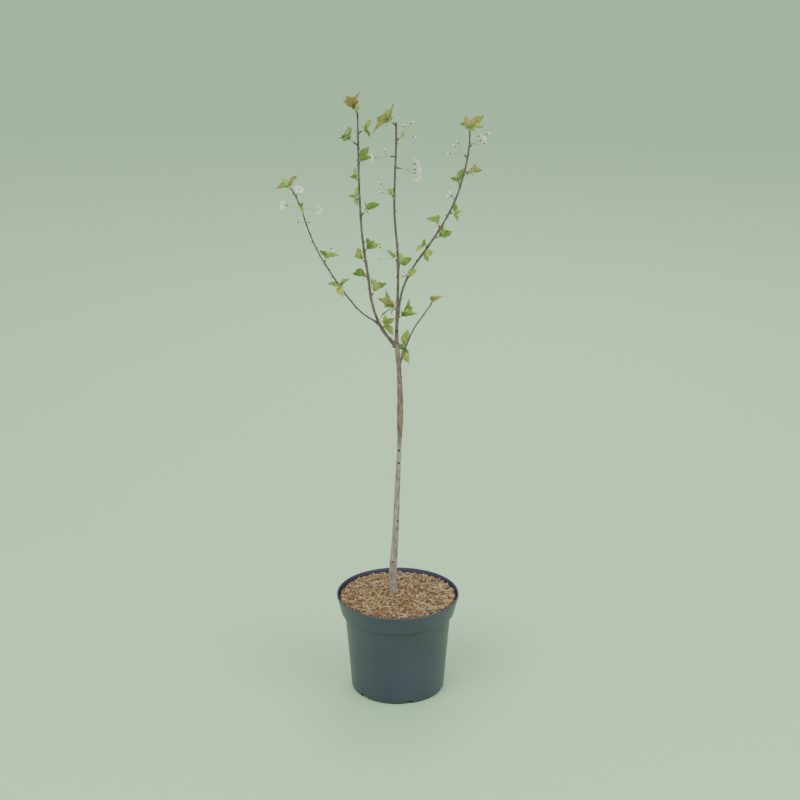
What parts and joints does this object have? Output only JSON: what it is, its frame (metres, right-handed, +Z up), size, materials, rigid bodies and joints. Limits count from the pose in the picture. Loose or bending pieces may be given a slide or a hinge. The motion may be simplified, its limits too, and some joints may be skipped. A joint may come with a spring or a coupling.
{
  "type": "potted sour cherry tree",
  "caption": "Young sour cherry tree in a round nursery pot: slender grafted trunk, forked leaning boughs, small leaf and blossom tufts over a wood-chip mulch.",
  "frame": {"origin": "centre of the pot's flat underside", "axes": "+Z up along the pot's axis, +X to the viewer's right in the reference view, -Y towards the viewer"},
  "size_m": [0.3503, 0.2277, 1.1066],
  "materials": {
    "pot_plastic": "matte",
    "potting_soil": "matte",
    "wood_chips": "matte",
    "old_bark": "matte",
    "young_bark": "matte",
    "leaf_mass": "matte",
    "blossom_mass": "matte"
  },
  "bodies": {
    "root": {"leader": "young_bark", "leader_tuft_1": "leaf_mass", "leader_tuft_2": "leaf_mass", "leader_tuft_3": "leaf_mass", "leader_tuft_4": "leaf_mass", "leader_tuft_5": "leaf_mass", "leader_tuft_6": "blossom_mass", "leader_tuft_7": "blossom_mass", "leader_tuft_8": "leaf_mass", "leader_tuft_9": "leaf_mass", "mulch": "wood_chips", "outer_bough": "young_bark", "outer_tuft_1": "leaf_mass", "outer_tuft_2": "leaf_mass", "outer_tuft_3": "leaf_mass", "outer_tuft_4": "blossom_mass", "outer_tuft_5": "blossom_mass", "outer_tuft_6": "leaf_mass", "pot": "pot_plastic", "right_bough": "young_bark", "right_tuft_1": "leaf_mass", "right_tuft_10": "leaf_mass", "right_tuft_11": "blossom_mass", "right_tuft_12": "leaf_mass", "right_tuft_2": "leaf_mass", "right_tuft_3": "leaf_mass", "right_tuft_4": "leaf_mass", "right_tuft_5": "leaf_mass", "right_tuft_6": "leaf_mass", "right_tuft_7": "blossom_mass", "right_tuft_8": "leaf_mass", "right_tuft_9": "leaf_mass", "right_twig": "young_bark", "root_ball": "potting_soil", "trunk": "old_bark", "twig_tuft_1": "leaf_mass", "twig_tuft_2": "leaf_mass", "upright_bough": "young_bark", "upright_tuft_1": "leaf_mass", "upright_tuft_10": "leaf_mass", "upright_tuft_11": "leaf_mass", "upright_tuft_12": "leaf_mass", "upright_tuft_2": "leaf_mass", "upright_tuft_3": "leaf_mass", "upright_tuft_4": "leaf_mass", "upright_tuft_5": "leaf_mass", "upright_tuft_6": "leaf_mass", "upright_tuft_7": "leaf_mass", "upright_tuft_8": "leaf_mass", "upright_tuft_9": "leaf_mass"}
  },
  "joints": []
}
